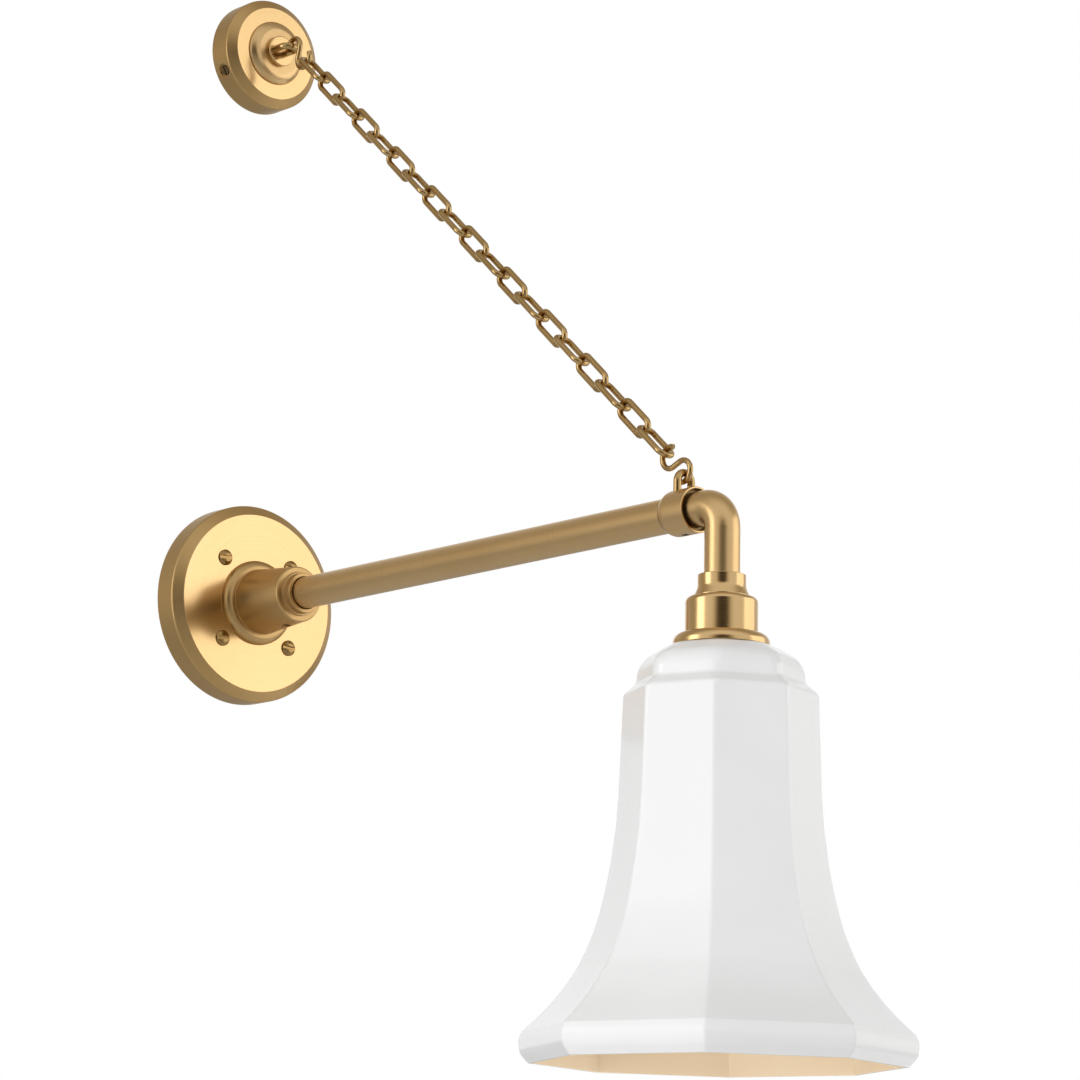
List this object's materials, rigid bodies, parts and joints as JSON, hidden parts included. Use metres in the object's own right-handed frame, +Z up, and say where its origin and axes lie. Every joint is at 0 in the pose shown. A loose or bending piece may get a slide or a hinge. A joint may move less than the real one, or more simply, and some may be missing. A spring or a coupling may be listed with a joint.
{
  "type": "wall light",
  "caption": "Wall light on a straight brass arm held up by a chain from a small upper plate, with an eight-sided bell shade of milk glass opening downwards.",
  "frame": {"origin": "middle of the lower wall plate's back, on the wall's face", "axes": "+Y into the wall, so the arm reaches out along -Y; +Z up; +X to the right as seen facing the wall"},
  "size_m": [0.2064, 0.5332, 0.6793],
  "materials": {
    "satin_brass": "satin brushed, slightly aged",
    "chain_brass": "satin drawn wire",
    "screw_brass": "satin, darker in the slots",
    "contact_brass": "bright plated",
    "zinc_steel": "zinc plated",
    "porcelain": "glazed",
    "milk_glass": "opal, glossy, opaque"
  },
  "bodies": {
    "root": {"wall_bracket": "zinc_steel", "backplate": "satin_brass", "backplate_screws": "screw_brass", "hub": "satin_brass", "hub_nipple": "zinc_steel", "hub_locknut": "zinc_steel", "hub_grub_screw": "screw_brass", "arm_tube": "satin_brass", "tube_coupler": "zinc_steel", "collar": "satin_brass", "collar_grub_screw": "screw_brass", "collar_loop": "satin_brass", "elbow": "satin_brass", "tube_insert": "zinc_steel", "tube_cup": "satin_brass", "lamp_nipple": "zinc_steel", "holder_shell": "satin_brass", "gallery": "satin_brass", "lampholder": "porcelain", "lamp_shell": "contact_brass", "centre_contact": "contact_brass", "canopy": "satin_brass", "canopy_disc": "zinc_steel", "canopy_screw": "screw_brass", "canopy_boss": "satin_brass", "loop_knob": "satin_brass", "canopy_nut": "zinc_steel", "canopy_loop": "satin_brass"},
    "shade": {"glass_shade": "milk_glass"},
    "ring": {"shade_ring": "satin_brass"},
    "upper_hook": {"top_hook": "chain_brass"},
    "lower_hook": {"bottom_hook": "chain_brass"},
    "link_01": {"chain_link_01": "chain_brass"},
    "link_02": {"chain_link_02": "chain_brass"},
    "link_03": {"chain_link_03": "chain_brass"},
    "link_04": {"chain_link_04": "chain_brass"},
    "link_05": {"chain_link_05": "chain_brass"},
    "link_06": {"chain_link_06": "chain_brass"},
    "link_07": {"chain_link_07": "chain_brass"},
    "link_08": {"chain_link_08": "chain_brass"},
    "link_09": {"chain_link_09": "chain_brass"},
    "link_10": {"chain_link_10": "chain_brass"},
    "link_11": {"chain_link_11": "chain_brass"},
    "link_12": {"chain_link_12": "chain_brass"},
    "link_13": {"chain_link_13": "chain_brass"},
    "link_14": {"chain_link_14": "chain_brass"},
    "link_15": {"chain_link_15": "chain_brass"},
    "link_16": {"chain_link_16": "chain_brass"},
    "link_17": {"chain_link_17": "chain_brass"},
    "link_18": {"chain_link_18": "chain_brass"},
    "link_19": {"chain_link_19": "chain_brass"}
  },
  "joints": [
    {"name": "upper_hook_swivel", "type": "hinge", "parent": "root", "child": "upper_hook", "pos_m": [0, -0.04358, 0.34429], "axis": [0, -0.7413, -0.6712], "range_deg": [-6, 6]},
    {"name": "link_01_swivel", "type": "hinge", "parent": "root", "child": "link_01", "pos_m": [0, -0.06048, 0.32899], "axis": [0, -0.7413, -0.6712], "range_deg": [-12, 12]},
    {"name": "link_02_swivel", "type": "hinge", "parent": "root", "child": "link_02", "pos_m": [0, -0.07805, 0.31308], "axis": [0, -0.7413, -0.6712], "range_deg": [-12, 12]},
    {"name": "link_03_swivel", "type": "hinge", "parent": "root", "child": "link_03", "pos_m": [0, -0.09562, 0.29718], "axis": [0, -0.7413, -0.6712], "range_deg": [-12, 12]},
    {"name": "link_04_swivel", "type": "hinge", "parent": "root", "child": "link_04", "pos_m": [0, -0.11318, 0.28127], "axis": [0, -0.7413, -0.6712], "range_deg": [-12, 12]},
    {"name": "link_05_swivel", "type": "hinge", "parent": "root", "child": "link_05", "pos_m": [0, -0.13075, 0.26536], "axis": [0, -0.7413, -0.6712], "range_deg": [-12, 12]},
    {"name": "link_06_swivel", "type": "hinge", "parent": "root", "child": "link_06", "pos_m": [0, -0.14832, 0.24946], "axis": [0, -0.7413, -0.6712], "range_deg": [-12, 12]},
    {"name": "link_07_swivel", "type": "hinge", "parent": "root", "child": "link_07", "pos_m": [0, -0.16589, 0.23355], "axis": [0, -0.7413, -0.6712], "range_deg": [-12, 12]},
    {"name": "link_08_swivel", "type": "hinge", "parent": "root", "child": "link_08", "pos_m": [0, -0.18346, 0.21765], "axis": [0, -0.7413, -0.6712], "range_deg": [-12, 12]},
    {"name": "link_09_swivel", "type": "hinge", "parent": "root", "child": "link_09", "pos_m": [0, -0.20103, 0.20174], "axis": [0, -0.7413, -0.6712], "range_deg": [-12, 12]},
    {"name": "link_10_swivel", "type": "hinge", "parent": "root", "child": "link_10", "pos_m": [0, -0.2186, 0.18583], "axis": [0, -0.7413, -0.6712], "range_deg": [-12, 12]},
    {"name": "link_11_swivel", "type": "hinge", "parent": "root", "child": "link_11", "pos_m": [0, -0.23617, 0.16993], "axis": [0, -0.7413, -0.6712], "range_deg": [-12, 12]},
    {"name": "link_12_swivel", "type": "hinge", "parent": "root", "child": "link_12", "pos_m": [0, -0.25374, 0.15402], "axis": [0, -0.7413, -0.6712], "range_deg": [-12, 12]},
    {"name": "link_13_swivel", "type": "hinge", "parent": "root", "child": "link_13", "pos_m": [0, -0.27131, 0.13811], "axis": [0, -0.7413, -0.6712], "range_deg": [-12, 12]},
    {"name": "link_14_swivel", "type": "hinge", "parent": "root", "child": "link_14", "pos_m": [0, -0.28888, 0.12221], "axis": [0, -0.7413, -0.6712], "range_deg": [-12, 12]},
    {"name": "link_15_swivel", "type": "hinge", "parent": "root", "child": "link_15", "pos_m": [0, -0.30645, 0.1063], "axis": [0, -0.7413, -0.6712], "range_deg": [-12, 12]},
    {"name": "link_16_swivel", "type": "hinge", "parent": "root", "child": "link_16", "pos_m": [0, -0.32401, 0.09039], "axis": [0, -0.7413, -0.6712], "range_deg": [-12, 12]},
    {"name": "link_17_swivel", "type": "hinge", "parent": "root", "child": "link_17", "pos_m": [0, -0.34158, 0.07449], "axis": [0, -0.7413, -0.6712], "range_deg": [-12, 12]},
    {"name": "link_18_swivel", "type": "hinge", "parent": "root", "child": "link_18", "pos_m": [0, -0.35915, 0.05858], "axis": [0, -0.7413, -0.6712], "range_deg": [-12, 12]},
    {"name": "link_19_swivel", "type": "hinge", "parent": "root", "child": "link_19", "pos_m": [0, -0.37672, 0.04267], "axis": [0, -0.7413, -0.6712], "range_deg": [-12, 12]},
    {"name": "lower_hook_swivel", "type": "hinge", "parent": "root", "child": "lower_hook", "pos_m": [0, -0.39363, 0.02737], "axis": [0, -0.7413, -0.6712], "range_deg": [-6, 6]},
    {"name": "shade_drop", "type": "slide", "parent": "root", "child": "shade", "axis": [0, 0, -1], "range_m": [0, 0.012]},
    {"name": "ring_turn", "type": "hinge", "parent": "shade", "child": "ring", "pos_m": [0, -0.43, -0.0827], "axis": [0, 0, -1], "range_deg": [0, 1441]}
  ],
  "couplings": [
    {"joint": "ring_turn", "follows": "shade_drop", "rad_per_m": 2094.4}
  ]
}
